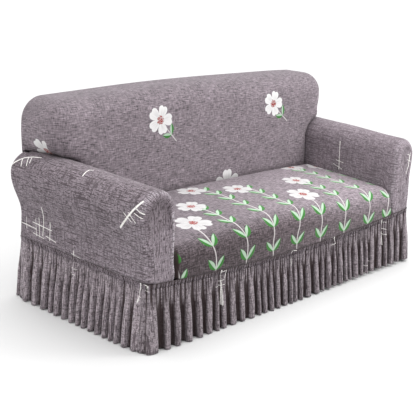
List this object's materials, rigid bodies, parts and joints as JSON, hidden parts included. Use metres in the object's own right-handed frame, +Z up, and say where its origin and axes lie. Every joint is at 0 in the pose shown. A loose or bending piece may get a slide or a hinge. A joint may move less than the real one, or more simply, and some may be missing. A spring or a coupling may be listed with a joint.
{
  "type": "sofa slipcover",
  "caption": "Stretch fabric slipcover, hollow, fitted round a two-seat rolled-arm sofa, with a gathered skirt from a seam under the seat to the floor",
  "frame": {"origin": "on the floor, under the middle of the cover's bounding box", "axes": "+Z is up, the front of the sofa faces -Y, +X is the right hand of a person who looks at the front"},
  "size_m": [1.8736, 0.8812, 0.892],
  "materials": {
    "cloth_smooth": "soft two-way slub, mauve-grey, printed with white and red flowers and green leaves",
    "cloth_flecked": "linen look, grey with short dark flecks",
    "cloth_heading": "gathered linen look, grey with short dark flecks"
  },
  "bodies": {
    "root": {"back_inside": "cloth_smooth", "back_outside": "cloth_flecked", "seat": "cloth_smooth", "arm_wrap_left": "cloth_flecked", "arm_wrap_right": "cloth_flecked", "arm_facing_left": "cloth_flecked", "arm_facing_right": "cloth_flecked", "heading_front": "cloth_heading", "heading_right": "cloth_heading", "heading_back": "cloth_heading", "heading_left": "cloth_heading", "skirt_front": "cloth_flecked", "skirt_right": "cloth_flecked", "skirt_back": "cloth_flecked", "skirt_left": "cloth_flecked"}
  },
  "joints": []
}
